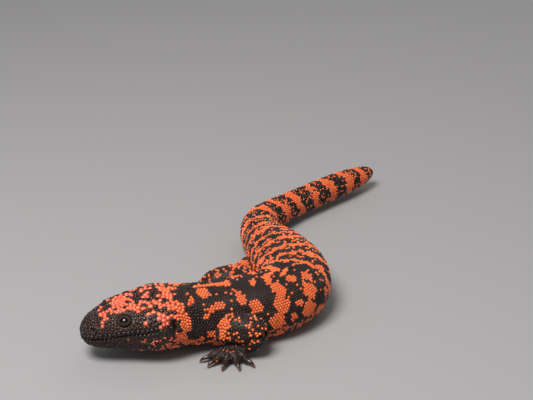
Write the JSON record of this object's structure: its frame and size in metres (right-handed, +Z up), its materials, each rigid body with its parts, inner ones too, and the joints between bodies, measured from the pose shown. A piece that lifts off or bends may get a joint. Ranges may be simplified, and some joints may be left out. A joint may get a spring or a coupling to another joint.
{
  "type": "gila monster",
  "caption": "Life-size gila monster lying on its belly, body bent in an S, with beaded hide, blunt head, thick tail, splayed clawed feet and small dark eyes.",
  "frame": {"origin": "middle of the bounding box in X and Y, on the floor the animal lies on", "axes": "+Z up from the floor; +Y from the head's end towards the tail's end, the longest extent; +X across, towards the side the tail tip points to; the snout points to -X"},
  "size_m": [0.206, 0.2862, 0.0413],
  "materials": {
    "beaded_hide": "glossy coral and black beads over dark skin",
    "claw": "dark horn, slightly glossy",
    "eye": "wet gloss"
  },
  "bodies": {
    "root": {"head": "beaded_hide", "neck": "beaded_hide", "chest": "beaded_hide", "trunk_front": "beaded_hide", "trunk_middle": "beaded_hide", "trunk_rear": "beaded_hide", "hips": "beaded_hide", "tail_root": "beaded_hide", "tail_front": "beaded_hide", "tail_middle": "beaded_hide", "tail_tip": "beaded_hide", "eye_left": "eye", "eye_right": "eye", "fore_left_upper_arm": "beaded_hide", "fore_left_forearm": "beaded_hide", "fore_left_hand": "beaded_hide", "fore_left_claw_1": "claw", "fore_left_claw_2": "claw", "fore_left_claw_3": "claw", "fore_left_claw_4": "claw", "fore_left_claw_5": "claw", "fore_right_upper_arm": "beaded_hide", "fore_right_forearm": "beaded_hide", "fore_right_hand": "beaded_hide", "fore_right_claw_1": "claw", "fore_right_claw_2": "claw", "fore_right_claw_3": "claw", "fore_right_claw_4": "claw", "fore_right_claw_5": "claw", "hind_left_thigh": "beaded_hide", "hind_left_shank": "beaded_hide", "hind_left_foot": "beaded_hide", "hind_left_claw_1": "claw", "hind_left_claw_2": "claw", "hind_left_claw_3": "claw", "hind_left_claw_4": "claw", "hind_left_claw_5": "claw", "hind_right_thigh": "beaded_hide", "hind_right_shank": "beaded_hide", "hind_right_foot": "beaded_hide", "hind_right_claw_1": "claw", "hind_right_claw_2": "claw", "hind_right_claw_3": "claw", "hind_right_claw_4": "claw", "hind_right_claw_5": "claw"}
  },
  "joints": []
}
